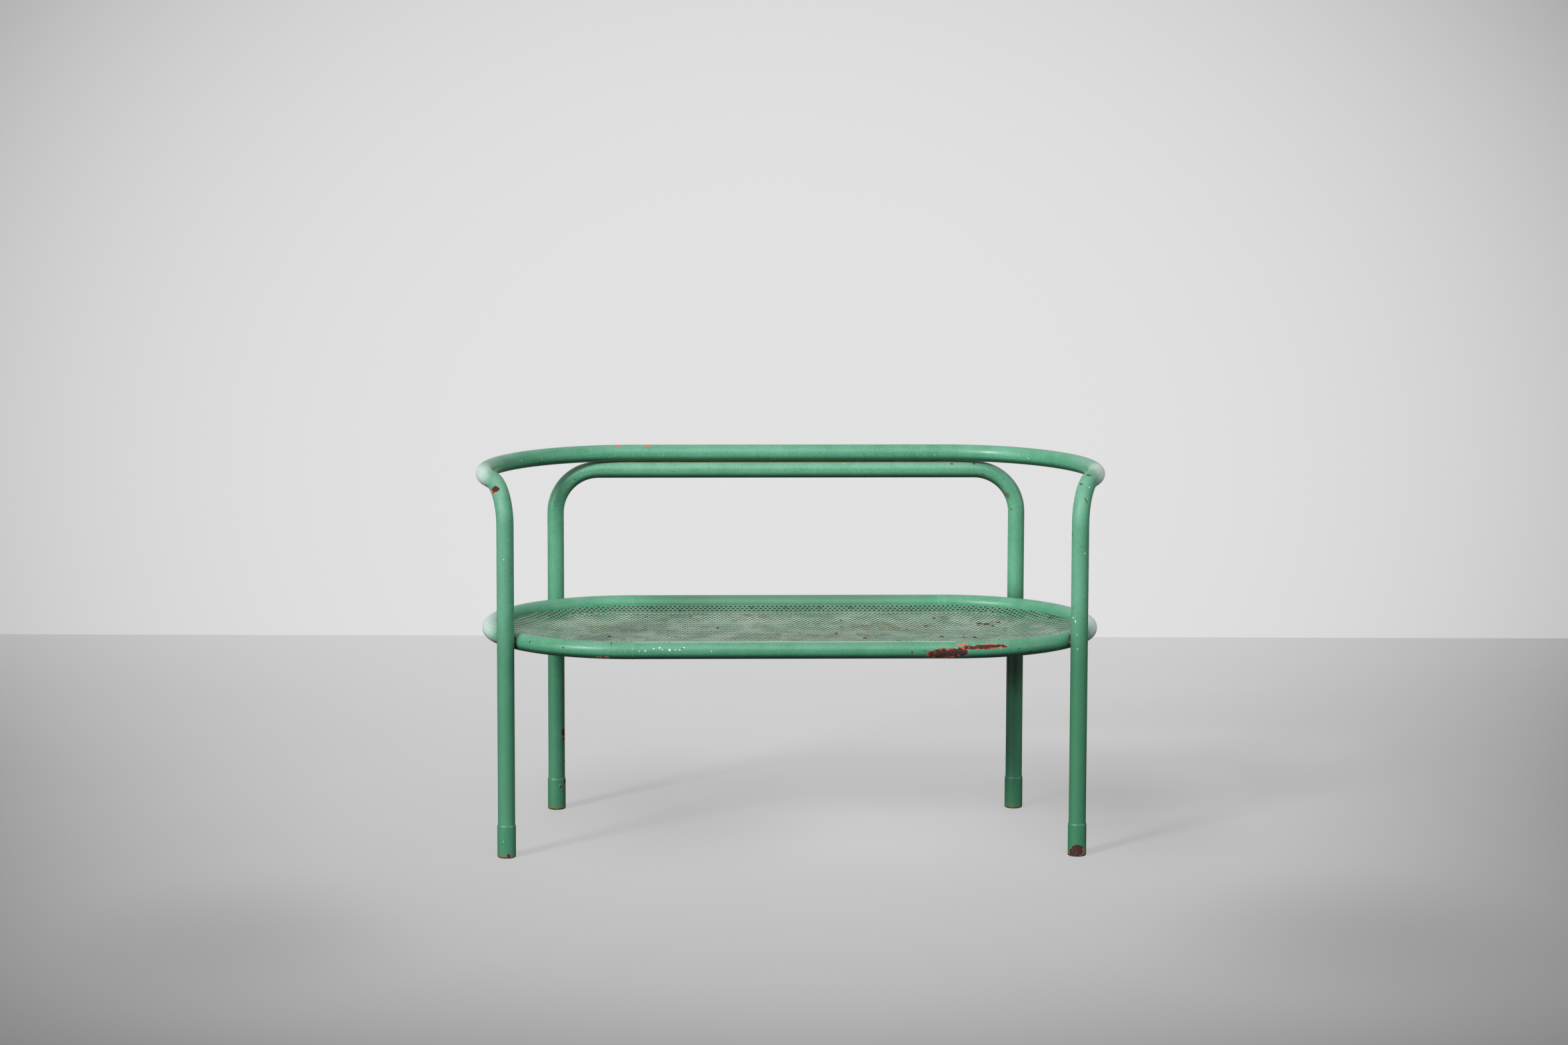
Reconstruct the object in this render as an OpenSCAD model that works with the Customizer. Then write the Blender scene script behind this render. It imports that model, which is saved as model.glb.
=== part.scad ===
/* [Tube] */
// Outside diameter of every tube in the frame
tube_d = 33.7; // [28:0.1:40]
// Wall thickness of every tube in the frame
tube_wall = 2.6; // [2:0.1:4]

/* [Seat ring] */
// Height of the top of the seat ring above the floor
seat_h = 440; // [380:1:500]
// Length of each straight side of the seat ring
ring_straight = 624; // [400:1:900]
// Centreline radius of the two end bends of the seat ring
ring_bend_r = 280; // [240:1:320]

/* [Legs] */
// Distance from the middle of the bench to each front leg's centreline
front_leg_x = 557.5; // [530:0.5:580]
// Distance from the middle of the bench to each rear leg's centreline
rear_leg_x = 467.5; // [430:0.5:500]
// Centreline radius of the bends at the top corners of the rear leg hoop
hoop_bend_r = 87; // [60:1:120]

/* [Back and arms] */
// Height of the top of the back rail above the floor
overall_h = 750; // [680:1:820]
// Centreline radius of the bend from the back into each arm
arm_bend_r = 292; // [270:1:300]
// Centreline radius of the bend where each arm dives into its front leg
dive_bend_r = 80; // [60:1:100]

/* [Seat sheet] */
// Thickness of the perforated sheet
sheet_t = 1.5; // [1:0.1:3]
// How far the sheet's edge meets the ring below the ring's centreline
sheet_drop = 3; // [1:0.5:9]
// Width of the bent-up border of the sheet, measured level
border_w = 31; // [15:1:50]
// Slope of the border above level, in degrees
border_slope = 20; // [5:1:35]
// Slope of the dish where it leaves the border, in degrees
dish_slope = 7.7; // [2:0.1:12]
// Number of openings across the length of the sheet, a coarse grid in place of the fine perforation
opening_count = 11; // [6:1:12]
// Diameter of each opening as a share of the distance between two openings
opening_share = 0.55; // [0.3:0.01:0.7]

/* [Foot caps] */
// Height of each foot cap
cap_h = 65; // [40:1:90]
// Wall thickness of each foot cap
cap_wall = 1.2; // [0.8:0.1:3]
// Thickness of each foot cap's floor
cap_floor = 2; // [1:0.1:6]
// Radius of the rounded edge round the floor of each foot cap
cap_edge_r = 3; // [1:0.1:3.1]
// Height of the bevel at the mouth of each foot cap
cap_bevel = 3; // [1:0.1:10]

/* [Joints] */
// Width of the root gap that each butt weld fills
weld_root = 3; // [1.5:0.1:6]
// How far each butt weld stands proud of the tube
weld_crown = 0.3; // [0.2:0.1:1.5]
// How far each inner sleeve reaches into the tube on either side of its joint
sleeve_reach = 20; // [10:1:30]
// Wall thickness of the inner sleeves
sleeve_wall = 2; // [1:0.1:4]
// Clearance round an inner sleeve and inside a foot cap
sleeve_gap = 0.15; // [0.05:0.05:0.4]
// Gap left where two tubes touch side by side
contact_gap = 0.2; // [0.1:0.05:0.5]
// Gap left between a weld bead and the side of the tube it lies against
bead_gap = 0.05; // [0.02:0.01:0.2]
// Radius of the patch of weld where the ring touches a leg
leg_weld_r = 12; // [9:0.5:15]
// Radius inside that patch that the weld metal doesn't reach
leg_weld_root_r = 4; // [3:0.5:6]
// Radius of the weld bead that lies in the groove under the back rail
groove_weld_r = 2.4; // [1.5:0.1:4]
// Length of each stitch of that bead
stitch_l = 60; // [20:1:70]
// Number of stitches along the back of the rail
stitch_count = 7; // [3:1:8]
// Radius of each tack weld under the edge of the seat sheet
tack_r = 3; // [2:0.1:4]
// Length of each tack weld along the edge of the seat sheet
tack_l = 14; // [6:1:25]
// Number of tack welds along each straight side of the ring
side_tacks = 5; // [3:1:9]
// Number of tack welds round each end bend of the ring
end_tacks = 6; // [3:1:9]

/* [Hidden] */
$fn = 64;

frame_green = [0.36, 0.66, 0.52];
seat_green = [0.55, 0.72, 0.62];
weld_brown = [0.35, 0.24, 0.18];
bare_steel = [0.62, 0.63, 0.65];

// Overlap that lets a cutting solid run clear past a face
past = 1;
// Sections along the curve of the dish
dish_steps = 6;
// Sections round a rounded edge
edge_steps = 5;
// Least metal left between an opening and the edge of the sheet
edge_web = 5;

tube_r = tube_d / 2;
tube_inner_r = tube_r - tube_wall;
sleeve_r = tube_inner_r - sleeve_gap;
sleeve_inner_r = sleeve_r - sleeve_wall;
bead_seat_r = tube_r + bead_gap;

// The origin is on the floor under the middle of the seat ring; the front of the bench faces -Y
ring_z = seat_h - tube_r;
ring_half = ring_straight / 2;
// Straight tubes of the ring stop short of the bends by half of the root gap at each end
ring_tube_l = ring_straight - 2 * weld_root;

// Each leg stands outside the ring and touches one of its end bends
leg_reach = ring_bend_r + tube_d + contact_gap;
front_leg_y = -sqrt(pow(leg_reach, 2) - pow(front_leg_x - ring_half, 2));
rear_leg_y = sqrt(pow(leg_reach, 2) - pow(rear_leg_x - ring_half, 2));
leg_foot_z = cap_floor;

// The hoop's top lies under the rail
rail_z = overall_h - tube_r;
hoop_z = rail_z - tube_d - contact_gap;

// The rail turns by arm_turn, runs straight over the weld, and the leg's bend then lands on the front leg
dive_run = dive_bend_r + weld_root;
arm_span = rear_leg_y - front_leg_y;
arm_turn = acos((arm_bend_r - arm_span) / norm([arm_bend_r, dive_run])) - atan2(dive_run, arm_bend_r);
rail_half = front_leg_x - arm_bend_r * sin(arm_turn) - dive_run * cos(arm_turn);

// Profile of the sheet, from the middle of the dish out to the ring
sheet_edge_z = ring_z - sheet_drop;
sheet_edge_r = ring_bend_r - sqrt(pow(tube_r, 2) - pow(sheet_drop, 2)) - contact_gap;
crease_r = sheet_edge_r - border_w;
crease_z = sheet_edge_z - border_w * tan(border_slope);
dish_r = crease_r / sin(dish_slope);
dish_z = crease_z - dish_r * (1 - cos(dish_slope));
function dish_point(part, lift) =
    let (slope = dish_slope * part)
    [dish_r * sin(slope), dish_z + dish_r * (1 - cos(slope)) + lift];
function sheet_line(lift) = concat(
    [for (i = [0 : dish_steps]) dish_point(i / dish_steps, lift)],
    [[sheet_edge_r, sheet_edge_z + lift]]
);
function turned_round(list) = [for (i = [len(list) - 1 : -1 : 0]) list[i]];
function mirrored(list) = [for (i = [len(list) - 1 : -1 : 1]) [-list[i][0], list[i][1]]];

// Openings in staggered rows, kept where they clear the sheet's edge by edge_web
opening_pitch = 2 * (ring_half + sheet_edge_r) / opening_count;
opening_r = opening_share * opening_pitch / 2;
row_pitch = opening_pitch * sin(60);
opening_rows = ceil(sheet_edge_r / row_pitch);
opening_reach = sheet_edge_r - opening_r - edge_web;

// Where the weld bead lies in the groove between the rail and the hoop
groove_half = (tube_d + contact_gap) / 2;
groove_weld_y = sqrt(pow(tube_r + groove_weld_r, 2) - pow(groove_half, 2)) - groove_weld_r / 3;
stitch_pitch = (2 * rail_half - stitch_l) / (stitch_count - 1);

// Cross-sections
module tube_section() {
    difference() {
        circle(r = tube_r);
        circle(r = tube_inner_r);
    }
}

module sleeve_section() {
    difference() {
        circle(r = sleeve_r);
        circle(r = sleeve_inner_r);
    }
}

// A straight length along +X from the origin
module straight_x(l) {
    rotate([90, 0, 90])
        linear_extrude(height = l)
            children();
}

// A bend about the Z axis, starting on the +X axis and turning towards +Y
module bend(r, angle) {
    rotate_extrude(angle = angle, $fn = 128)
        translate([r, 0])
            children();
}

// Repeats a right-hand piece on the side given by -1 for left or 1 for right
module on_side(side) {
    if (side < 0)
        mirror([1, 0, 0]) children();
    else
        children();
}

// Repeats a front piece at the end given by -1 for front or 1 for rear
module on_end(end) {
    if (end > 0)
        mirror([0, 1, 0]) children();
    else
        children();
}

function leg_x(end) = end < 0 ? front_leg_x : rear_leg_x;
function leg_y(end) = end < 0 ? front_leg_y : rear_leg_y;

// Right half of the back rail: straight, then the bend into the arm
module rail_half_tube() {
    translate([0, rear_leg_y, rail_z])
        straight_x(rail_half)
            tube_section();
    translate([rail_half, rear_leg_y - arm_bend_r, rail_z])
        mirror([1, 0, 0])
            rotate([0, 0, 90])
                bend(arm_bend_r, arm_turn)
                    tube_section();
}

module back_rail() {
    color(frame_green)
        union() {
            rail_half_tube();
            on_side(-1)
                rail_half_tube();
        }
}

// Stands at the right front leg, with +X along the end of the arm
module at_front_leg() {
    translate([front_leg_x, front_leg_y, 0])
        rotate([0, 0, -arm_turn])
            children();
}

module front_leg(side) {
    color(frame_green)
        on_side(side)
            at_front_leg()
                union() {
                    translate([-dive_bend_r, 0, rail_z - dive_bend_r])
                        rotate([90, 0, 0])
                            bend(dive_bend_r, 90)
                                tube_section();
                    translate([0, 0, leg_foot_z])
                        linear_extrude(height = rail_z - dive_bend_r - leg_foot_z)
                            tube_section();
                }
}

module hoop_half() {
    translate([0, rear_leg_y, hoop_z])
        straight_x(rear_leg_x - hoop_bend_r)
            tube_section();
    translate([rear_leg_x - hoop_bend_r, rear_leg_y, hoop_z - hoop_bend_r])
        rotate([90, 0, 0])
            bend(hoop_bend_r, 90)
                tube_section();
    translate([rear_leg_x, rear_leg_y, leg_foot_z])
        linear_extrude(height = hoop_z - hoop_bend_r - leg_foot_z)
            tube_section();
}

module rear_leg_hoop() {
    color(frame_green)
        union() {
            hoop_half();
            on_side(-1)
                hoop_half();
        }
}

module seat_ring_tube(end) {
    color(frame_green)
        translate([-ring_tube_l / 2, end * ring_bend_r, ring_z])
            straight_x(ring_tube_l)
                tube_section();
}

module seat_ring_bend(side) {
    color(frame_green)
        on_side(side)
            translate([ring_half, 0, ring_z])
                rotate([0, 0, -90])
                    bend(ring_bend_r, 180)
                        tube_section();
}

module sheet_end() {
    translate([ring_half, 0, 0])
        rotate([0, 0, -90])
            rotate_extrude(angle = 180, $fn = 128)
                polygon(concat(sheet_line(0), turned_round(sheet_line(sheet_t))));
}

module whole_sheet() {
    union() {
        sheet_end();
        on_side(-1)
            sheet_end();
        translate([-ring_half, 0, 0])
            straight_x(ring_straight)
                polygon(concat(
                    mirrored(sheet_line(0)),
                    sheet_line(0),
                    turned_round(sheet_line(sheet_t)),
                    turned_round(mirrored(sheet_line(sheet_t)))
                ));
    }
}

// Plan of the openings; every second row is shifted by half a pitch
module opening_plan() {
    for (row = [-opening_rows : opening_rows - 1])
        for (i = [-opening_count : opening_count])
            let (
                x = (i + abs(row % 2) / 2) * opening_pitch,
                y = (row + 0.5) * row_pitch,
                beyond_straight = max(0, abs(x) - ring_half)
            )
            if (norm([beyond_straight, y]) <= opening_reach)
                translate([x, y])
                    circle(r = opening_r);
}

module seat_sheet() {
    color(seat_green)
        difference() {
            whole_sheet();
            translate([0, 0, dish_z - past])
                linear_extrude(height = sheet_edge_z + sheet_t - dish_z + 2 * past)
                    opening_plan();
        }
}

// Half section of a cup with a rounded lower edge and a bevelled mouth
module cap_profile() {
    inner_r = tube_r + sleeve_gap;
    outer_r = inner_r + cap_wall;
    edge_arc = [
        for (i = [0 : edge_steps])
            let (a = -90 + 90 * i / edge_steps)
            [outer_r - cap_edge_r + cap_edge_r * cos(a), cap_edge_r + cap_edge_r * sin(a)]
    ];
    polygon(concat(
        [[0, 0]],
        edge_arc,
        [
            [outer_r, cap_h - cap_bevel],
            [inner_r + cap_wall / 3, cap_h],
            [inner_r, cap_h],
            [inner_r, cap_floor],
            [0, cap_floor]
        ]
    ));
}

module foot_cap(side, end) {
    color(frame_green)
        translate([side * leg_x(end), leg_y(end), 0])
            rotate_extrude()
                cap_profile();
}

function turn_for(l, r) = l / r * 180 / PI;

module arm_spigot(side) {
    color(bare_steel)
        on_side(side)
            at_front_leg()
                translate([-dive_run, 0, rail_z])
                    union() {
                        translate([0, -arm_bend_r, 0])
                            rotate([0, 0, 90])
                                bend(arm_bend_r, turn_for(sleeve_reach, arm_bend_r))
                                    sleeve_section();
                        straight_x(weld_root)
                            sleeve_section();
                        translate([weld_root, 0, -dive_bend_r])
                            rotate([90, 0, 0])
                                mirror([1, 0, 0])
                                    rotate([0, 0, 90])
                                        bend(dive_bend_r, turn_for(sleeve_reach, dive_bend_r))
                                            sleeve_section();
                    }
}

module ring_sleeve(side, end) {
    color(bare_steel)
        on_side(side)
            on_end(end)
                union() {
                    translate([ring_half - weld_root - sleeve_reach, -ring_bend_r, ring_z])
                        straight_x(weld_root + sleeve_reach)
                            sleeve_section();
                    translate([ring_half, 0, ring_z])
                        rotate([0, 0, -90])
                            bend(ring_bend_r, turn_for(sleeve_reach, ring_bend_r))
                                sleeve_section();
                }
}

// A butt weld along +X from the origin, as wide as the root gap and slightly crowned
module butt_weld() {
    rotate([0, 90, 0])
        rotate_extrude()
            polygon([
                [tube_inner_r, 0],
                [tube_r, 0],
                [tube_r + weld_crown, weld_root / 3],
                [tube_r + weld_crown, weld_root * 2 / 3],
                [tube_r, weld_root],
                [tube_inner_r, weld_root]
            ]);
}

module arm_weld(side) {
    color(weld_brown)
        on_side(side)
            at_front_leg()
                translate([-dive_run, 0, rail_z])
                    butt_weld();
}

module ring_weld(side, end) {
    color(weld_brown)
        on_side(side)
            on_end(end)
                translate([ring_half - weld_root, -ring_bend_r, ring_z])
                    butt_weld();
}

// Weld metal round the point where the ring touches a leg, cut to the faces of both tubes
module leg_weld(side, end) {
    leg_angle = atan2(leg_y(end), leg_x(end) - ring_half);
    cut_turn = turn_for(leg_weld_r + past, ring_bend_r);
    color(weld_brown)
        on_side(side)
            translate([ring_half, 0, ring_z])
                rotate([0, 0, leg_angle])
                    difference() {
                        translate([ring_bend_r, 0, 0])
                            rotate([0, 90, 0])
                                linear_extrude(height = leg_reach - ring_bend_r)
                                    difference() {
                                        circle(r = leg_weld_r);
                                        circle(r = leg_weld_root_r);
                                    }
                        translate([leg_reach, 0, -leg_weld_r - past])
                            cylinder(r = bead_seat_r, h = 2 * (leg_weld_r + past), $fn = 144);
                        rotate([0, 0, -cut_turn])
                            rotate_extrude(angle = 2 * cut_turn, $fn = 720)
                                translate([ring_bend_r, 0])
                                    circle(r = bead_seat_r, $fn = 144);
                    }
}

// Section of the weld in the groove between the rail and the hoop, with +X towards the rear
module groove_weld_section() {
    difference() {
        translate([groove_weld_y, 0])
            circle(r = groove_weld_r);
        for (z = [-groove_half, groove_half])
            translate([0, z])
                circle(r = bead_seat_r);
    }
}

module rail_weld() {
    color(weld_brown)
        for (i = [0 : stitch_count - 1])
            translate([-rail_half + i * stitch_pitch, rear_leg_y, rail_z - groove_half])
                straight_x(stitch_l)
                    groove_weld_section();
}

// Section of the tack weld in the corner between the ring and the underside of the sheet
module tack_section() {
    border_run = tack_r + past;
    border_fall = border_run * tan(border_slope);
    difference() {
        translate([sheet_edge_r, sheet_edge_z])
            circle(r = tack_r);
        translate([ring_bend_r, ring_z])
            circle(r = bead_seat_r);
        polygon([
            [sheet_edge_r - border_run, sheet_edge_z - border_fall],
            [sheet_edge_r + border_run, sheet_edge_z + border_fall],
            [sheet_edge_r, sheet_edge_z + border_run],
            [sheet_edge_r - border_run, sheet_edge_z + border_run]
        ]);
    }
}

module seat_tack_welds() {
    side_pitch = ring_straight / side_tacks;
    end_pitch = 180 / end_tacks;
    tack_turn = turn_for(tack_l, sheet_edge_r);
    color(weld_brown) {
        for (i = [0 : side_tacks - 1])
            for (end = [-1, 1])
                translate([(i + 0.5) * side_pitch - ring_half - tack_l / 2, 0, 0])
                    on_end(-end)
                        straight_x(tack_l)
                            tack_section();
        for (i = [0 : end_tacks - 1])
            for (side = [-1, 1])
                on_side(side)
                    translate([ring_half, 0, 0])
                        rotate([0, 0, (i + 0.5) * end_pitch - 90 - tack_turn / 2])
                            rotate_extrude(angle = tack_turn, $fn = 128)
                                tack_section();
    }
}

back_rail();
front_leg(-1);  // front_leg_left
front_leg(1);  // front_leg_right
rear_leg_hoop();
seat_ring_tube(-1);  // seat_ring_front_tube
seat_ring_tube(1);  // seat_ring_rear_tube
seat_ring_bend(-1);  // seat_ring_left_bend
seat_ring_bend(1);  // seat_ring_right_bend
seat_sheet();
foot_cap(-1, -1);  // foot_cap_front_left
foot_cap(1, -1);  // foot_cap_front_right
foot_cap(-1, 1);  // foot_cap_rear_left
foot_cap(1, 1);  // foot_cap_rear_right
arm_spigot(-1);  // arm_spigot_left
arm_spigot(1);  // arm_spigot_right
ring_sleeve(-1, -1);  // ring_sleeve_front_left
ring_sleeve(1, -1);  // ring_sleeve_front_right
ring_sleeve(-1, 1);  // ring_sleeve_rear_left
ring_sleeve(1, 1);  // ring_sleeve_rear_right
arm_weld(-1);  // arm_weld_left
arm_weld(1);  // arm_weld_right
ring_weld(-1, -1);  // ring_weld_front_left
ring_weld(1, -1);  // ring_weld_front_right
ring_weld(-1, 1);  // ring_weld_rear_left
ring_weld(1, 1);  // ring_weld_rear_right
leg_weld(-1, -1);  // leg_weld_front_left
leg_weld(1, -1);  // leg_weld_front_right
leg_weld(-1, 1);  // leg_weld_rear_left
leg_weld(1, 1);  // leg_weld_rear_right
rail_weld();
seat_tack_welds();
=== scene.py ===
"""Looks of the painted tubular steel bench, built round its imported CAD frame.

Metres, +Z up, front towards -Y. Sizes of the sheet and places of wear are in millimetres.
"""
import math

import bpy
from mathutils import Matrix, Vector, noise


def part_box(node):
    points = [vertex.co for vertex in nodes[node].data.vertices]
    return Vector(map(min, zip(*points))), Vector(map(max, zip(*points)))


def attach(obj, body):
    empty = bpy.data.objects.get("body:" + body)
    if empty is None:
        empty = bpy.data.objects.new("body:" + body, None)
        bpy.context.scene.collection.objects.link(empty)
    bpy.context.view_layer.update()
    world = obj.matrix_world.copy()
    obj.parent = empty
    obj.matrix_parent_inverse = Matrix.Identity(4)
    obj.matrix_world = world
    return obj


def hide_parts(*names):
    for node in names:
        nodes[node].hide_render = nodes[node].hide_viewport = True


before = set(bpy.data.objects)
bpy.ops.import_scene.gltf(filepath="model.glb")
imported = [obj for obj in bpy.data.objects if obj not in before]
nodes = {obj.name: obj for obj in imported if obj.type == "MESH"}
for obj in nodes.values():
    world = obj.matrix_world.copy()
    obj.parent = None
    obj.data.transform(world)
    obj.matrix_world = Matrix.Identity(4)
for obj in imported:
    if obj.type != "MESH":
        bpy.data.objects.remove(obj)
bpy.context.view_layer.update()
MM = 0.001


def box_mm(node):
    """Lowest and highest corner of a CAD node, in millimetres to a hundredth."""
    return [[round(c / MM, 2) for c in corner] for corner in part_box(node)]


# Section of the seat sheet: the frame gives its edge, and the border and slopes are those of the solids
SHEET_T = 1.5
BORDER_W = 31.0
BORDER_SLOPE = math.radians(20)
DISH_SLOPE = math.radians(7.7)
RING_HALF = box_mm("seat_ring_right_bend")[0][0]
sheet_high = box_mm("seat_sheet")[1]
SHEET_EDGE_R = sheet_high[1]
CREASE_R = SHEET_EDGE_R - BORDER_W
CREASE_Z = sheet_high[2] - SHEET_T - BORDER_W * math.tan(BORDER_SLOPE)
DISH_R = CREASE_R / math.sin(DISH_SLOPE)
DISH_Z = CREASE_Z - DISH_R * (1 - math.cos(DISH_SLOPE))
CREASE_RUN = DISH_R * DISH_SLOPE

# Height of the groove between the back rail and the rear leg hoop, in metres
GROOVE_Z = (box_mm("rear_leg_hoop")[1][2] + box_mm("back_rail")[0][2]) / 2 * MM


def linear(red, green, blue):
    """A colour given in 0 to 255 display values, as linear light with alpha."""
    channels = [c / 255 for c in (red, green, blue)]
    return [c / 12.92 if c <= 0.04045 else ((c + 0.055) / 1.055) ** 2.4 for c in channels] + [1.0]


def grey(level):
    """A neutral colour of the given linear level."""
    return (level, level, level, 1.0)


def spot(x, y, z, half, tilt=0.0):
    """A worn place: its centre and its half sizes in millimetres, and its tilt about Y in degrees."""
    return (x, y, z), half, tilt


# Distance given where there is no spot at all, and roughness of every clear coat
FAR_AWAY = 9.0
COAT_ROUGHNESS = 0.14


class Shader:
    """A material's nodes. The calls take sockets or plain values, and layer() builds the surface up."""

    def __init__(self, name):
        self.material = bpy.data.materials.new(name)
        self.material.use_nodes = True
        self.tree = self.material.node_tree
        self.tree.nodes.clear()
        self.place = self.add("ShaderNodeTexCoord").outputs["Object"]
        self.colour = None
        self.rough = None
        self.height = 0.0

    def add(self, kind, **settings):
        node = self.tree.nodes.new(kind)
        for key, value in settings.items():
            setattr(node, key, value)
        return node

    def put(self, socket, value):
        """Links a socket, or sets a plain value."""
        if isinstance(value, bpy.types.NodeSocket):
            self.tree.links.new(value, socket)
        else:
            socket.default_value = value

    def math(self, operation, first, second=0.0, clamp=False):
        node = self.add("ShaderNodeMath", operation=operation, use_clamp=clamp)
        self.put(node.inputs[0], first)
        self.put(node.inputs[1], second)
        return node.outputs[0]

    def times(self, first, second):
        return self.math("MULTIPLY", first, second)

    def minus(self, first, second):
        return self.math("SUBTRACT", first, second)

    def vector(self, operation, first, second):
        node = self.add("ShaderNodeVectorMath", operation=operation)
        self.put(node.inputs[0], first)
        self.put(node.inputs[1], second)
        return node.outputs["Value"] if operation == "LENGTH" else node.outputs["Vector"]

    def scaled(self, vector, factor):
        node = self.add("ShaderNodeVectorMath", operation="SCALE")
        self.put(node.inputs[0], vector)
        self.put(node.inputs["Scale"], factor)
        return node.outputs["Vector"]

    def split(self, vector):
        node = self.add("ShaderNodeSeparateXYZ")
        self.put(node.inputs[0], vector)
        return node.outputs

    def facing(self):
        """The surface's direction as its X, Y and Z parts."""
        return self.split(self.add("ShaderNodeNewGeometry").outputs["Normal"])

    def mix(self, factor, first, second):
        """A colour between two."""
        node = self.add("ShaderNodeMix", data_type="RGBA")
        self.put(node.inputs["Factor"], factor)
        self.put(node.inputs[6], first)
        self.put(node.inputs[7], second)
        return node.outputs[2]

    def blend(self, factor, first, second):
        """A number between two."""
        node = self.add("ShaderNodeMix", data_type="FLOAT")
        self.put(node.inputs["Factor"], factor)
        self.put(node.inputs[2], first)
        self.put(node.inputs[3], second)
        return node.outputs[0]

    def noise(self, scale, detail=2.0, roughness=0.5, colour=False):
        node = self.add("ShaderNodeTexNoise")
        self.put(node.inputs["Vector"], self.place)
        node.inputs["Scale"].default_value = scale
        node.inputs["Detail"].default_value = detail
        node.inputs["Roughness"].default_value = roughness
        return node.outputs["Color" if colour else "Fac"]

    def smooth(self, value, low, high, to_low=0.0, to_high=1.0):
        """Goes gently from to_low to to_high while the value goes from low to high, which may fall."""
        node = self.add("ShaderNodeMapRange", interpolation_type="SMOOTHSTEP")
        self.put(node.inputs["Value"], value)
        node.inputs["From Min"].default_value = low
        node.inputs["From Max"].default_value = high
        node.inputs["To Min"].default_value = to_low
        node.inputs["To Max"].default_value = to_high
        return node.outputs["Result"]

    def shaken(self, coarse, fine):
        """The surface's place, shaken by two sizes of noise, in metres."""
        big = self.vector("SUBTRACT", self.noise(90, 3, 0.6, colour=True), (0.5, 0.5, 0.5))
        small = self.vector("SUBTRACT", self.noise(420, 2, 0.6, colour=True), (0.5, 0.5, 0.5))
        moved = self.vector("ADD", self.place, self.scaled(big, coarse))
        return self.vector("ADD", moved, self.scaled(small, fine))

    def nearness(self, place, spots):
        """The least distance to any of the spots, in units of each spot's own half sizes."""
        least = None
        for centre, half, tilt in spots:
            node = self.add("ShaderNodeMapping", vector_type="TEXTURE")
            self.put(node.inputs["Vector"], place)
            node.inputs["Location"].default_value = [c * MM for c in centre]
            node.inputs["Rotation"].default_value = (0, math.radians(tilt), 0)
            node.inputs["Scale"].default_value = [h * MM for h in half]
            reach = self.vector("LENGTH", node.outputs[0], (0, 0, 0))
            least = reach if least is None else self.math("MINIMUM", least, reach)
        return FAR_AWAY if least is None else least

    def inside(self, spots, shake, edge, share=1.0):
        """A mask of the spots with ragged outlines: 0 at the first edge, the full share at the second."""
        return self.smooth(self.nearness(self.shaken(*shake), spots), *edge, 0.0, share)

    def dots(self, scale, share, size, place=None):
        """Distance inside scattered round dots: 0 outside them, up to 1 at their middles."""
        node = self.add("ShaderNodeTexVoronoi", feature="F1")
        self.put(node.inputs["Vector"], self.place if place is None else place)
        node.inputs["Scale"].default_value = scale
        lot = self.split(node.outputs["Color"])
        radius = self.smooth(lot[0], 1 - share, 1.0, 0.0, size * scale)
        depth = self.minus(radius, node.outputs["Distance"])
        return self.math("DIVIDE", depth, size * scale, clamp=True)

    def start(self, colour, rough):
        """The lowest layer of the surface."""
        self.colour = colour
        self.rough = rough

    def layer(self, mask, colour, rough=None, sink=0.0):
        """Lays a colour where the mask is 1, with its own roughness, and sunk below the paint."""
        self.colour = self.mix(mask, self.colour, colour)
        if rough is not None:
            self.rough = self.blend(mask, self.rough, rough)
        if sink:
            self.height = self.minus(self.height, self.times(mask, sink))

    def bump(self, height, distance, strength, normal=None):
        node = self.add("ShaderNodeBump")
        self.put(node.inputs["Height"], height)
        node.inputs["Distance"].default_value = distance
        node.inputs["Strength"].default_value = strength
        if normal is not None:
            self.put(node.inputs["Normal"], normal)
        return node.outputs["Normal"]

    def solid(self, normal, metallic=0.0, specular=0.5, coat=0.0):
        """The layers as a solid surface."""
        node = self.add("ShaderNodeBsdfPrincipled")
        self.put(node.inputs["Base Color"], self.colour)
        self.put(node.inputs["Roughness"], self.rough)
        self.put(node.inputs["Normal"], normal)
        node.inputs["Metallic"].default_value = metallic
        node.inputs["Specular IOR Level"].default_value = specular
        node.inputs["Coat Weight"].default_value = coat
        node.inputs["Coat Roughness"].default_value = COAT_ROUGHNESS
        return node.outputs[0]

    def glow(self, colour):
        node = self.add("ShaderNodeEmission")
        self.put(node.inputs["Color"], colour)
        return node.outputs[0]

    def choose(self, factor, first, second):
        """A surface between two surfaces."""
        node = self.add("ShaderNodeMixShader")
        self.put(node.inputs[0], factor)
        self.put(node.inputs[1], first)
        self.put(node.inputs[2], second)
        return node.outputs[0]

    def made_of(self, surface):
        """Ends the tree with this surface and returns the material."""
        output = self.add("ShaderNodeOutputMaterial")
        self.put(output.inputs["Surface"], surface)
        return self.material


# Colours of the sound, dulled and weld paint, of chalking and bleaching that are partly a painted sheen,
# and of painted shade and a painted highlight
GREEN = linear(86, 162, 127)
GREEN_DEEP = linear(72, 148, 110)
GREEN_PALE = linear(108, 178, 146)
GREEN_CHALK_AND_SHEEN = linear(184, 218, 204)
BLEACH_AND_SHEEN_GREEN = linear(214, 238, 228)
GREEN_DULL = linear(92, 126, 104)
SEAT_SHADE_GREEN = linear(53, 121, 86)
GREEN_WELD = linear(70, 104, 74)
UNDERSIDE_SHADE = linear(14, 62, 36)
LEG_SHADE = linear(10, 40, 12)
CREST_HIGHLIGHT = linear(206, 220, 208)
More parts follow.
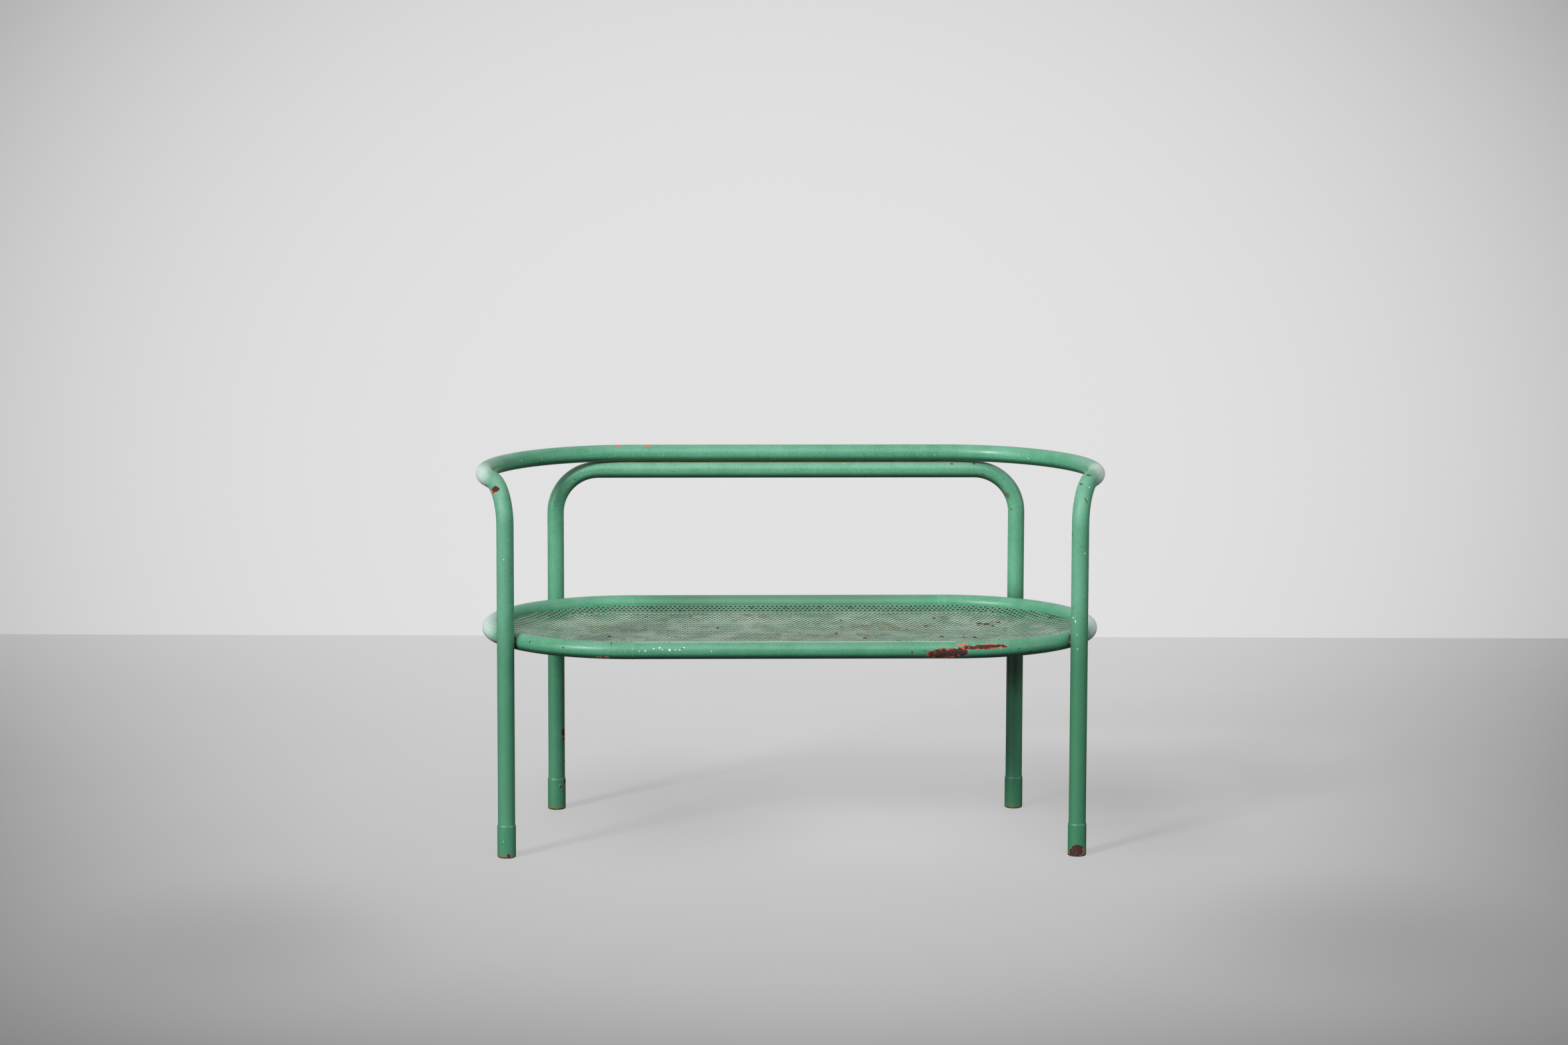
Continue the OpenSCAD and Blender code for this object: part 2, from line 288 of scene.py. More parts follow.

# Colours of dirt, chips and rust, and of the groove's black line of soot and painted shade
DIRT = linear(96, 92, 62)
OLIVE = linear(112, 116, 74)
GROOVE_GRIME = linear(118, 122, 88)
GROOVE_SOOT_AND_SHADE = linear(20, 18, 10)
PINHOLE = linear(54, 92, 62)
SCRATCH = linear(74, 66, 44)
WHITE = linear(226, 232, 222)
PRIMER = linear(206, 84, 62)
PRIMER_PALE = linear(222, 146, 116)
RUST_DARK = linear(44, 26, 24)
RUST_MID = linear(84, 50, 38)
RUST_ORANGE = linear(164, 84, 56)

# Colours of the pierced sheet, with painted shade in its holes and the rear legs' painted shadow and
# reflection, and of bare steel
SHEET_GREEN = linear(132, 168, 144)
SHEET_PALE = linear(170, 199, 176)
SHEET_CHALKED = linear(190, 214, 196)
SHEET_STAIN = linear(124, 112, 78)
SHEET_LEG_SHADOW_AND_SHELTER = linear(88, 150, 118)
SHEET_GRIME = linear(118, 120, 80)
HOLE_DARK = linear(16, 26, 16)
HOLE_BROWN = linear(30, 22, 14)
FRONT_BORDER = linear(126, 182, 152)
REAR_BORDER = linear(84, 138, 106)
STEEL_DARK = linear(120, 116, 110)
STEEL_PALE = linear(160, 158, 154)

# Heights between which the painted shade below the seat deepens towards the floor, and distances between
# which the paint is dull
SEAT_SHADE_FROM, SEAT_SHADE_TO = 0.52, 0.37
DULL_UNTIL, DULL_WITHIN = 0.31, 0.16


def sound_paint(s, mottle, grain, matt):
    """Green with deeper and paler clouds, and a fine grain."""
    s.start(s.mix(s.smooth(mottle, 0.3, 0.72), GREEN_DEEP, GREEN),
            s.smooth(grain, 0.2, 0.8, 0.3 + matt, 0.46 + matt))
    s.layer(s.smooth(s.noise(7, 2, 0.5), 0.42, 0.75, 0.0, 0.4), GREEN_PALE)
    s.layer(s.smooth(grain, 0.45, 0.68, 0.0, 0.6), GREEN_PALE)
    s.layer(s.smooth(grain, 0.5, 0.28, 0.0, 0.6), GREEN_DEEP)


def weather(s, mottle, pale, left_sheen, low, shade, crest, dull, bleach_and_sheen):
    """Chalking and dulling of the paint, with painted sheen, highlight and shade, by the way that it faces
    and by its place.
    """
    rightward, _, upward = s.facing()
    # Chalking on what faces up, partly a painted sheen
    chalk_and_sheen = s.times(s.smooth(upward, 0.2, 1.0, 0.0, 0.2 + pale), s.smooth(mottle, 0.2, 0.7, 0.5, 1.0))
    s.layer(chalk_and_sheen, GREEN_CHALK_AND_SHEEN)
    # Painted sheen on all but the right-hand side
    if left_sheen:
        s.layer(s.smooth(rightward, 0.75, -0.2, 0.0, left_sheen), GREEN_CHALK_AND_SHEEN)
    # Painted shade below the seat, deepening towards the floor
    if low:
        s.layer(s.smooth(s.split(s.place)[2], SEAT_SHADE_FROM, SEAT_SHADE_TO, 0.0, low), SEAT_SHADE_GREEN)
    if shade:
        s.layer(s.inside(shade, (0.02, 0.004), (1.3, 0.5), 0.86), LEG_SHADE)
    # Painted highlight along the topmost line
    if crest:
        top_highlight = s.times(s.smooth(upward, 0.92, 0.995, 0.0, crest), s.smooth(mottle, 0.25, 0.5))
        s.layer(top_highlight, CREST_HIGHLIGHT)
    # Painted shade on what faces down
    s.layer(s.smooth(upward, -0.15, -0.75, 0.0, 0.82), UNDERSIDE_SHADE)
    if dull:
        from_middle = s.math("ABSOLUTE", s.split(s.place)[0])
        clouds = s.smooth(mottle, 0.25, 0.75, dull * 0.6, dull)
        s.layer(s.times(clouds, s.smooth(from_middle, DULL_UNTIL, DULL_WITHIN)), GREEN_DULL)
    # Pale places, sun bleached and brightened by a painted sheen
    if bleach_and_sheen:
        s.layer(s.inside(bleach_and_sheen, (0.02, 0.004), (1.15, 0.35), 0.88), BLEACH_AND_SHEEN_GREEN)


def soil(s, dirt, groove):
    """Dirt in places and, along the groove between rail and hoop, grime with a black line of soot and
    painted shade in it.
    """
    if dirt:
        s.layer(s.inside(dirt, (0.012, 0.004), (1.1, 0.5), 0.8), DIRT)
    if groove:
        height = s.split(s.shaken(0.0016, 0.0012))[2]
        off_groove = s.math("ABSOLUTE", s.minus(height, GROOVE_Z))
        s.layer(s.smooth(off_groove, 0.003, 0.0012), GROOVE_GRIME)
        # Black line at the groove's bottom: soot and painted shade
        s.layer(s.smooth(off_groove, 0.0006, 0.0002), GROOVE_SOOT_AND_SHADE)


def speckle(s):
    """Scattered dark pinholes and white flecks."""
    s.layer(s.smooth(s.dots(70, 0.16, 0.0016), 0.0, 0.12, 0.0, 0.85), PINHOLE)
    s.layer(s.smooth(s.dots(45, 0.07, 0.0012, s.shaken(0.002, 0.001)), 0.0, 0.1, 0.0, 0.9), WHITE)


def bare_places(s, rust, foot):
    """How near the bare metal is, under 1 inside it: rust spots, scattered pits and a foot's rim."""
    near = s.nearness(s.shaken(0.011, 0.004), rust)
    pit = s.dots(24, 0.1, 0.0026, s.shaken(0.004, 0.0016))
    near = s.math("MINIMUM", near, s.smooth(pit, 0.0, 0.25, 2.0, 0.6))
    if foot:
        height = s.split(s.shaken(0.006, 0.0024))[2]
        near = s.math("MINIMUM", near, s.smooth(height, 0.0, foot * MM, 0.2, 2.0))
        s.layer(s.smooth(height, foot * 2.6 * MM, 0.0, 0.0, 0.8), OLIVE)
    return near


def corrode(s, near):
    """Rust where the metal is bare, with primer round it and left on it towards its edge."""
    edge = s.times(s.smooth(near, 1.06, 0.98), s.smooth(s.noise(130, 2), 0.47, 0.56))
    s.layer(edge, s.mix(s.noise(260, 2), PRIMER, RUST_ORANGE))
    rust = s.mix(s.smooth(s.noise(300, 4, 0.7), 0.35, 0.7), RUST_DARK, RUST_MID)
    rust = s.mix(s.smooth(s.noise(110, 3, 0.6), 0.6, 0.72, 0.0, 0.75), rust, RUST_ORANGE)
    primer_left = s.times(s.smooth(near, 0.55, 0.9), s.smooth(s.noise(75, 3, 0.6), 0.48, 0.56))
    s.layer(s.smooth(near, 0.98, 0.9), s.mix(primer_left, rust, PRIMER), rough=0.86, sink=1.0)


def chip(s, primer, white, scratch):
    """Chips down to the primer, white specks and dark scratches."""
    if primer:
        ragged = s.smooth(s.noise(210, 3, 0.6), 0.36, 0.44)
        chips = s.times(s.inside(primer, (0.005, 0.0026), (1.05, 0.9)), ragged)
        s.layer(chips, s.mix(s.noise(350, 2), PRIMER, PRIMER_PALE), rough=0.7, sink=0.6)
    if white:
        s.layer(s.inside(white, (0.0012, 0.0012), (1.05, 0.8)), WHITE)
    if scratch:
        s.layer(s.inside(scratch, (0.0015, 0.0006), (1.1, 0.75)), SCRATCH, sink=0.5)


def tube_paint(name, pale=0.0, left_sheen=0.0, low=0.0, crest=0.0, dull=0.0, groove=False, foot=0.0,
               gloss=0.25, matt=0.0, shade=(), bleach_and_sheen=(), dirt=(), rust=(), primer=(), white=(),
               scratch=()):
    """Old glossy green paint on steel with the wear of one piece.

    These are shares from 0 to 1: pale adds to the chalking of what faces up, which is partly a painted
    sheen, left_sheen paints a sheen on all but the right-hand side, low paints shade below the seat that
    deepens towards the floor, crest paints a highlight along the topmost line, and dull greys the paint
    near the bench's middle. foot is the height of a foot's rusty rim in millimetres, gloss the weight of
    the clear coat, and matt is added to the roughness. The rest are lists of spots; shade holds painted
    shadows, and bleach_and_sheen pale places both sun bleached and brightened by a painted sheen.
    """
    s = Shader(name)
    mottle = s.noise(26, 3, 0.55)
    grain = s.noise(330, 3, 0.65)
    sound_paint(s, mottle, grain, matt)
    weather(s, mottle, pale, left_sheen, low, shade, crest, dull, bleach_and_sheen)
    soil(s, dirt, groove)
    speckle(s)
    corrode(s, bare_places(s, rust, foot))
    chip(s, primer, white, scratch)
    normal = s.bump(s.noise(150, 2, 0.5), 0.0006, 0.35)
    normal = s.bump(grain, 0.00022, 0.5, normal)
    normal = s.bump(s.height, 0.0005, 0.9, normal)
    return s.made_of(s.solid(normal, specular=0.5, coat=gloss))


# Places on the pierced sheet: brown stains, rust spots, and by the rear legs their painted shadow and
# reflection, where the paint is also less worn
SHEET_STAINS = [
    spot(205, 117, 399, (120, 52, 30)), spot(408, 138, 404, (36, 36, 20)),
    spot(-468, 190, 414, (34, 26, 20)), spot(-498, 124, 409, (26, 16, 20)),
    spot(-342, 120, 400, (110, 34, 20)), spot(30, 40, 395, (170, 46, 20)),
    spot(230, 246, 414, (60, 12, 20)), spot(-60, 200, 405, (90, 24, 20)),
]
SHEET_RUST = [
    spot(298, 194, 405, (4, 5, 9)), spot(278, 134, 400, (4, 6, 9)), spot(386, 148, 402, (6, 7, 9)),
    spot(304, 37, 395, (5, 8, 9)), spot(369, 24, 396, (5, 9, 9)), spot(530, 131, 417, (9, 13, 9)),
    spot(541, 118, 417, (5, 6, 9)), spot(-215, 243, 413, (6, 5, 9)), spot(-142, 120, 399, (4, 6, 9)),
    spot(-274, 256, 418, (5, 5, 9)), spot(-358, 44, 396, (5, 9, 9)), spot(400, 140, 403, (7, 8, 9)),
    spot(424, 148, 405, (6, 6, 9)), spot(384, 132, 403, (4, 5, 9)), spot(412, 124, 403, (3, 7, 9)),
    spot(96, 70, 396, (4, 8, 9)), spot(150, 20, 395, (5, 8, 9)),
]
BORDER_RUST = [spot(x, 255, 417, (5, 7, 6)) for x in (-70, -2, 68, 131)]
BY_THE_REAR_LEGS = [spot(x, 200, 410, (46, 52, 40)) for x in (-467, 467)]


def sheet_paint(name):
    """Paler, dirtier paint on the pierced seat, with painted shade and dirt inside its holes."""
    s = Shader(name)
    _, backward, height = s.split(s.place)
    upward = s.facing()[2]
    grain = s.noise(380, 3, 0.6)
    s.start(s.mix(s.smooth(s.noise(20, 3, 0.55), 0.3, 0.7), SHEET_GREEN, SHEET_PALE),
            s.smooth(grain, 0.2, 0.8, 0.42, 0.58))
    s.layer(s.smooth(s.noise(5, 3, 0.6), 0.45, 0.7, 0.0, 0.6), SHEET_CHALKED)
    patchy = s.smooth(s.noise(60, 4, 0.7), 0.36, 0.66)
    stained = s.times(s.inside(SHEET_STAINS, (0.05, 0.006), (1.25, 0.2)), patchy)
    s.layer(s.times(stained, 0.7), SHEET_STAIN)
    # Painted shadow and green reflection of the rear legs, where the paint is also less worn
    s.layer(s.inside(BY_THE_REAR_LEGS, (0.03, 0.006), (1.2, 0.4), 0.6), SHEET_LEG_SHADOW_AND_SHELTER)
    s.layer(s.times(s.smooth(s.noise(34, 4, 0.7), 0.52, 0.68), 0.62), SHEET_GRIME)

    pits = s.smooth(s.dots(46, 0.34, 0.0038, s.shaken(0.006, 0.003)), 0.0, 0.2)
    rusty = s.math("MAXIMUM", s.inside(SHEET_RUST + BORDER_RUST, (0.006, 0.003), (1.1, 0.7)), pits)
    s.layer(rusty, s.mix(s.noise(240, 3, 0.6), RUST_DARK, RUST_MID), rough=0.88)

    # Walls of the holes: painted shade and dirt
    hole_wall = s.smooth(s.math("ABSOLUTE", upward), 0.75, 0.35)
    hole_shade_and_dirt = s.mix(s.smooth(s.noise(70, 3, 0.6), 0.4, 0.6), HOLE_DARK, HOLE_BROWN)
    s.layer(s.times(hole_wall, 0.96), hole_shade_and_dirt)
    underneath = s.smooth(upward, -0.2, -0.7, 0.0, 0.55)
    s.layer(s.times(underneath, s.smooth(s.noise(16, 4, 0.65), 0.42, 0.62)), RUST_MID)
    border = s.times(s.smooth(height, 0.4075, 0.4125, 0.0, 0.7), s.smooth(upward, 0.5, 0.8))
    s.layer(border, s.mix(s.smooth(backward, -0.1, 0.1), FRONT_BORDER, REAR_BORDER))

    normal = s.bump(grain, 0.0003, 0.4)
    normal = s.bump(rusty, 0.0004, 0.6, normal)
    return s.made_of(s.solid(normal, specular=0.45, coat=0.1))


def weld_paint(name, rust_share):
    """Weld metal under thin paint that rust has broken through."""
    s = Shader(name)
    s.start(s.mix(s.noise(60, 3, 0.6), GREEN_DEEP, GREEN_WELD), 0.45)
    rust = s.mix(s.smooth(s.noise(180, 3, 0.65), 0.35, 0.65), RUST_DARK, RUST_MID)
    rust = s.mix(s.smooth(s.noise(420, 2), 0.6, 0.75), rust, RUST_ORANGE)
    s.layer(s.smooth(s.noise(90, 4, 0.65), 1 - rust_share, 1.08 - rust_share), rust, rough=0.85)
    ripple = s.add("ShaderNodeTexWave", wave_type="BANDS", bands_direction="X")
    s.put(ripple.inputs["Vector"], s.shaken(0.003, 0.001))
    ripple.inputs["Scale"].default_value = 120
    normal = s.bump(ripple.outputs["Fac"], 0.0004, 0.6)
    normal = s.bump(s.noise(300, 3, 0.6), 0.0004, 0.6, normal)
    return s.made_of(s.solid(normal, specular=0.4))


def bare_steel(name):
    """Unpainted steel of the pieces inside the tubes."""
    s = Shader(name)
    grain = s.noise(200, 3, 0.6)
    s.start(s.mix(grain, STEEL_DARK, STEEL_PALE), s.smooth(grain, 0.2, 0.8, 0.35, 0.6))
    return s.made_of(s.solid(s.bump(grain, 0.0002, 0.4), metallic=1.0))


def give(material, *names):
    """Gives CAD nodes a material in place of their own."""
    for name in names:
        mesh = nodes[name].data
        mesh.materials.clear()
        mesh.materials.append(material)


def starting_with(*words):
    """Names of the CAD nodes that start with any of these words."""
    return [name for name in nodes if name.startswith(words)]


# Pale tops of the two arms, sun bleached and brightened by a painted sheen
LEFT_ARM_PALE = spot(-614, -80, 739, (36, 100, 30))
RIGHT_ARM_PALE = spot(614, -80, 741, (36, 100, 30))

# Wear, and painted light and shade, of each painted piece, where the photograph shows it
give(tube_paint(
    "rail_paint", groove=True, gloss=0.12, matt=0.05,
    rust=[spot(-584, 38, 729.5, (2.6, 8, 5.5), 15), spot(-605, -87, 719, (7, 9, 5))],
    primer=[spot(-340, 263, 747.2, (4.2, 6, 2.6)), spot(-282, 265, 748, (7.5, 6, 1.7))],
    white=[spot(-533, 142.5, 735.2, (1.4, 1.6, 1.6)), spot(-493, 186, 732, (0.9, 1.2, 1.1)),
           spot(485, 193.5, 731.6, (1.3, 1.4, 1.3)), spot(300, 256, 731, (1.6, 1.3, 0.7))],
    scratch=[spot(598.4, -108.7, 719, (3, 4, 5), 30), spot(605.3, -106, 726.4, (2, 4, 6), 30)],
    bleach_and_sheen=[LEFT_ARM_PALE, RIGHT_ARM_PALE],
), "back_rail")
give(tube_paint(
    "left_leg_paint", gloss=0.0, matt=0.14, left_sheen=0.1, low=0.6,
    rust=[spot(-576, -180, 723.5, (9, 10, 7.6)), spot(-581, -178, 719, (6, 9, 5), 35)],
    primer=[spot(-584, -177, 717.5, (3.2, 9, 4.4), 20), spot(-579, -178, 713.6, (5, 9, 1.8), 10)],
    white=[spot(-560, -212, 590, (1.2, 1.4, 1.2))],
    scratch=[spot(-585, -150, 720, (5, 6, 3), 60)],
    bleach_and_sheen=[LEFT_ARM_PALE],
), "front_leg_left")
give(tube_paint(
    "right_leg_paint", gloss=0.0, matt=0.14, left_sheen=0.09, low=0.9,
    rust=[spot(540.7, -197.3, 630, (1.6, 4, 14))],
    white=[spot(565.6, -210.4, 600, (2.2, 2, 1.2)), spot(575, -179.3, 725, (1.2, 2, 1.8)),
           spot(544, -206, 473, (2.6, 3, 1.0), 20), spot(548.5, -210, 466, (1.0, 2, 3.6)),
           spot(552, -211, 440, (0.9, 2, 1.6)), spot(553, -211, 412, (0.9, 2, 1.4))],
    scratch=[spot(575, -150, 745, (8, 5, 1.6), 8), spot(559.4, -171.6, 730.2, (4.2, 5, 1.4), -6),
             spot(567.5, -198, 702, (1.2, 5, 7.5), -26)],
    bleach_and_sheen=[RIGHT_ARM_PALE],
), "front_leg_right")
give(tube_paint(
    "hoop_paint", groove=True, gloss=0.25, pale=0.08, left_sheen=0.06, low=0.6,
    rust=[spot(-452, 264, 160, (4.5, 12, 9), 6), spot(-453, 262, 147, (3, 10, 3)),
          spot(-452, 264, 100, (2, 8, 2.5))],
    white=[spot(116.5, 264, 712, (2.4, 3, 1.2))],
    scratch=[spot(335, 261, 711.5, (3.4, 4, 1.4)), spot(380, 262, 712, (3.8, 4, 1.6), -12),
             spot(456.7, 259.5, 619, (1.6, 3, 1.8))],
    dirt=[spot(447.9, 259.7, 647.7, (9, 8, 8), 40), spot(398, 258, 689, (7, 8, 4), 30)],
    # Painted shadow of the seat on the rear right leg, with dirt
    shade=[spot(467.5, 262, 345, (40, 40, 105))],
), "rear_leg_hoop")
give(tube_paint(
    "ring_front_paint", gloss=0.1, crest=0.6, low=0.3,
    rust=[spot(291, -292, 419.5, (38, 16, 10), -3), spot(272, -292, 415, (18, 16, 8))],
    primer=[spot(226.8, -296.7, 420.8, (1.2, 2, 1.2)), spot(268, -290, 410.6, (5, 10, 1.6)),
            spot(291, -290, 410.2, (7, 10, 1.4)), spot(305, -290, 411.6, (3, 10, 1.6))],
    white=[spot(-298.6, -296.8, 424.6, (2.2, 2, 0.8)), spot(-286.8, -296.7, 425.2, (1.6, 2, 1.8)),
           spot(-270.7, -295.8, 429.1, (1.8, 2, 1.2)), spot(-259.2, -295, 430.8, (2.0, 2, 2.0)),
           spot(-254.2, -296.4, 427, (1.2, 2, 1.2)), spot(-240.2, -296.5, 426.7, (2.2, 2, 2.2)),
           spot(-228.8, -296.3, 427.2, (1.3, 2, 1.2)), spot(-221, -296.4, 426.9, (2.4, 2, 1.0)),
           spot(-212.5, -295.5, 431.2, (2.0, 2, 1.3)), spot(-159.5, -296.8, 424, (1.2, 2, 1.3))],
    scratch=[spot(226.8, -296.7, 420.6, (2.2, 3, 2.4)), spot(251, -296.8, 423.3, (1.6, 3, 1.6)),
             spot(-215, -295.5, 429.2, (2.0, 2, 1.4)), spot(-240, -282, 439.4, (1.2, 4, 1.2))],
), "seat_ring_front_tube")
give(tube_paint(
    "ring_left_paint", gloss=0.0, pale=0.05, low=0.3,
    rust=[spot(-570, -160, 408, (10, 10, 3))],
    primer=[spot(-377, -285, 411.2, (6.8, 8, 2.0)), spot(-361, -289, 411.4, (5.2, 8, 2.0))],
    scratch=[spot(-445.4, -264.9, 426, (2.6, 4, 2.0)), spot(-352, -285, 437.5, (1.2, 8, 3.4), 30),
             spot(-510, -219, 429.5, (1.6, 3, 2.6))],
    white=[spot(-560, -160, 436, (1.4, 2, 1.4))],
    # Pale end of the ring: sun bleaching and a painted sheen
    bleach_and_sheen=[spot(-608, -20, 428, (42, 170, 34))],
), "seat_ring_left_bend")
give(tube_paint(
    "ring_right_paint", gloss=0.0, pale=0.05, low=0.3,
    rust=[spot(320, -292, 421, (15, 16, 9)), spot(356, -288, 430, (44, 14, 4.6)),
          spot(392, -283, 430, (24, 12, 3.4), 3)],
    primer=[spot(322, -291, 435.6, (13, 8, 1.8), -4), spot(378, -286, 435.2, (17, 8, 1.9), -1),
            spot(399, -281, 426.5, (2.8, 8, 3.2), 20), spot(411, -278, 431, (4.5, 6, 1.4), 6)],
    scratch=[spot(457.5, -255.5, 413.8, (4.5, 5, 2.4), -20), spot(435, -270, 423, (3, 4, 0.9))],
    white=[spot(560, -150, 436, (1.4, 2, 1.4))],
    # Pale end of the ring: sun bleaching and a painted sheen
    bleach_and_sheen=[spot(608, -20, 428, (42, 170, 34))],
), "seat_ring_right_bend")
give(tube_paint(
    "ring_rear_paint", dull=0.6, gloss=0.0, low=0.35,
    dirt=[spot(140, 263, 419, (60, 4, 3)), spot(-150, 263, 419, (40, 4, 2))],
), "seat_ring_rear_tube")
give(tube_paint(
    "cap_front_left_paint", low=0.6, foot=6,
    rust=[spot(-553.4, -213, 5.9, (3.2, 5, 4.4))],
    white=[spot(-575, -205, 38, (1.1, 2, 1.1)), spot(-563, -212, 34, (1.1, 2, 1.1))],
), "foot_cap_front_left")
give(tube_paint(
    "cap_front_right_paint", low=0.85, foot=8,
    rust=[spot(557, -212.5, 13, (15, 8, 12)), spot(548, -211, 8, (10, 8, 9))],
), "foot_cap_front_right")
give(tube_paint(
    "cap_rear_left_paint", low=0.6, foot=6,
    rust=[spot(-459.4, 257.9, 47.2, (3.2, 5, 3.2)), spot(-451, 264, 58, (2.5, 8, 5))],
    white=[spot(-461, 257.5, 51, (1.6, 3, 1.6))],
), "foot_cap_rear_left")
give(tube_paint("cap_rear_right_paint", low=0.8, foot=5), "foot_cap_rear_right")
give(tube_paint(
    "seam_front_right_paint",
    rust=[spot(312, -292, 417, (20, 16, 11))],
), "ring_weld_front_right")
give(tube_paint("seam_paint", bleach_and_sheen=[LEFT_ARM_PALE, RIGHT_ARM_PALE], gloss=0.0),
     *starting_with("arm_weld", "ring_weld_front_left", "ring_weld_rear"))
give(weld_paint("weld_rusty", 0.66), *starting_with("leg_weld", "rail_weld", "seat_tack"))
give(bare_steel("sleeve_steel"), *starting_with("arm_spigot", "ring_sleeve"))

# The pierced seat sheet: a staggered pattern of round holes pressed into a dish
HOLE_PITCH = 9.4
HOLE_R = 2.65
HOLE_SIDES = 12
CORNER_R = HOLE_PITCH / math.sqrt(3)
ROW_PITCH = CORNER_R * 1.5

# Steps from a cell's middle to its six corners, in half columns and thirds of a row
CORNER_STEPS = ((1, 1), (0, 2), (-1, 1), (-1, -1), (0, -2), (1, -1))

# Half sizes of the pattern before it is cut, and the nearest that a point may lie to the cut
PATTERN_HALF_LENGTH = 620
PATTERN_HALF_WIDTH = 300
SNAP = 0.15

# Dents of use, each as depth, length, width and seed, and how far from the ring they die out
DENTS = ((0.9, 130, 110, 3.1), (0.35, 45, 40, 8.7))
DENT_FREE_W = 60

# How far the bowl's curve is followed past the crease, and how softly the crease is rounded
PAST_CREASE = 20
CREASE_SOFTNESS = 0.14

# The sheet comes as three pieces, which meet at this distance from the middle
CUT_X = 173.0
PART_NAMES = ("seat_sheet_left", "seat_sheet_middle", "seat_sheet_right")


def across(run):
    """Level distance from the middle line for a distance measured along the sheet."""
    size = abs(run)
    if size <= CREASE_RUN:
        level = DISH_R * math.sin(size / DISH_R)
    else:
        level = CREASE_R + (size - CREASE_RUN) * math.cos(BORDER_SLOPE)
    return math.copysign(level, run)


def stadium(x, y):
    """Distance from the middle line of the seat, which runs between the centres of its round ends."""
    return math.hypot(max(0.0, abs(x) - RING_HALF), y)


def sheet_top(x, y):
    """Height of the sheet's upper side, with the shallow dents of use."""
    rho = stadium(x, y)
    bowl_angle = math.asin(min(rho, CREASE_R + PAST_CREASE) / DISH_R)
    bowl = DISH_Z + DISH_R * (1 - math.cos(bowl_angle))
    border = CREASE_Z + (rho - CREASE_R) * math.tan(BORDER_SLOPE)
    gap = border - bowl
    height = bowl + (gap + math.sqrt(gap * gap + CREASE_SOFTNESS)) / 2
    dent = sum(depth * noise.noise(Vector((x / length, y / width, seed)))
               for depth, length, width, seed in DENTS)
    freedom = min(1.0, max(0.0, (SHEET_EDGE_R - rho) / DENT_FREE_W))
    return height + SHEET_T + dent * freedom


def open_edges(faces):
    """The edges that belong to one face only."""
    edges = {}
    for face in faces:
        for i, p in enumerate(face):
            edges[(p, face[(i + 1) % len(face)])] = True
    return [(p, q) for p, q in edges if (q, p) not in edges]


class SheetPart:
    """Collects the upper faces of one piece of the sheet, cut to the seat's outline."""

    def __init__(self):
        self.points = []
        self.index = {}
        self.cuts = {}
        self.faces = []

    def point(self, key, x, run):
        """The number of a point, made once for each key, with its distance beyond the outline."""
        if key not in self.index:
            y = across(run)
            beyond = stadium(x, y) - SHEET_EDGE_R
            self.index[key] = len(self.points)
            self.points.append((x, y, 0.0 if abs(beyond) < SNAP else beyond))
        return self.index[key]

    def cut(self, first, second):
        """The number of the point where the line between two points crosses the outline."""
        key = (min(first, second), max(first, second))
        if key not in self.cuts:
            a, b = self.points[key[0]], self.points[key[1]]
            share = a[2] / (a[2] - b[2])
            self.cuts[key] = len(self.points)
            self.points.append((a[0] + (b[0] - a[0]) * share, a[1] + (b[1] - a[1]) * share, 0.0))
        return self.cuts[key]

    def face(self, corners):
        """Keeps what lies inside the outline of one face."""
        beyond = [self.points[c][2] for c in corners]
        if max(beyond) <= 0:
            self.faces.append(corners)
            return
        if min(beyond) >= 0:
            return
        kept = []
        for i, corner in enumerate(corners):
            after = corners[(i + 1) % len(corners)]
            here, there = self.points[corner][2], self.points[after][2]
            if here <= 0:
                kept.append(corner)
            if here * there < 0:
                kept.append(self.cut(corner, after))
        kept = list(dict.fromkeys(kept))
        if len(kept) > 2:
            self.faces.append(kept)

    def cell(self, column, row):
        """The web round one hole: a six-sided cell less its round hole."""
        x0 = (column + (row % 2) / 2) * HOLE_PITCH
        s0 = row * ROW_PITCH
        if stadium(x0, across(s0)) > SHEET_EDGE_R + CORNER_R:
            return
        rim = []
        for k in range(HOLE_SIDES):
            turn = 2 * math.pi * k / HOLE_SIDES
            key = ("hole", column, row, k)
            rim.append(self.point(key, x0 + HOLE_R * math.cos(turn), s0 + HOLE_R * math.sin(turn)))
        corners = []
        for k, (half_columns, third_rows) in enumerate(CORNER_STEPS):
            turn = math.pi / 6 + math.pi / 3 * k
            key = ("corner", 2 * column + row % 2 + half_columns, 3 * row + third_rows)
            corners.append(self.point(key, x0 + CORNER_R * math.cos(turn), s0 + CORNER_R * math.sin(turn)))
        for k in range(6):
            here, after = corners[k], corners[(k + 1) % 6]
            a, b, c = (rim[(2 * k + step) % HOLE_SIDES] for step in (1, 2, 3))
            if max(self.points[p][2] for p in (here, after, a, b, c)) <= 0:
                self.faces.append([here, after, c, b, a])
            else:
                self.face([here, b, a])
                self.face([here, after, b])
                self.face([after, c, b])

    def build(self, name, material):
        """Makes the piece: upper side, lower side and the walls along every edge and hole."""
        used = sorted({p for face in self.faces for p in face})
        renamed = {p: i for i, p in enumerate(used)}
        faces = [[renamed[p] for p in face] for face in self.faces]
        top = [(*self.points[p][:2], sheet_top(*self.points[p][:2])) for p in used]
        bottom = [(x, y, z - SHEET_T) for x, y, z in top]
        count = len(top)
        everything = faces + [[p + count for p in reversed(face)] for face in faces]
        everything += [[q, p, p + count, q + count] for p, q in open_edges(faces)]
        mesh = bpy.data.meshes.new(name)
        mesh.from_pydata([tuple(c * MM for c in p) for p in top + bottom], [], everything)
        mesh.shade_smooth()
        mesh.set_sharp_from_angle(angle=math.radians(35))
        mesh.materials.append(material)
        part = bpy.data.objects.new(name, mesh)
        bpy.context.scene.collection.objects.link(part)
        return part


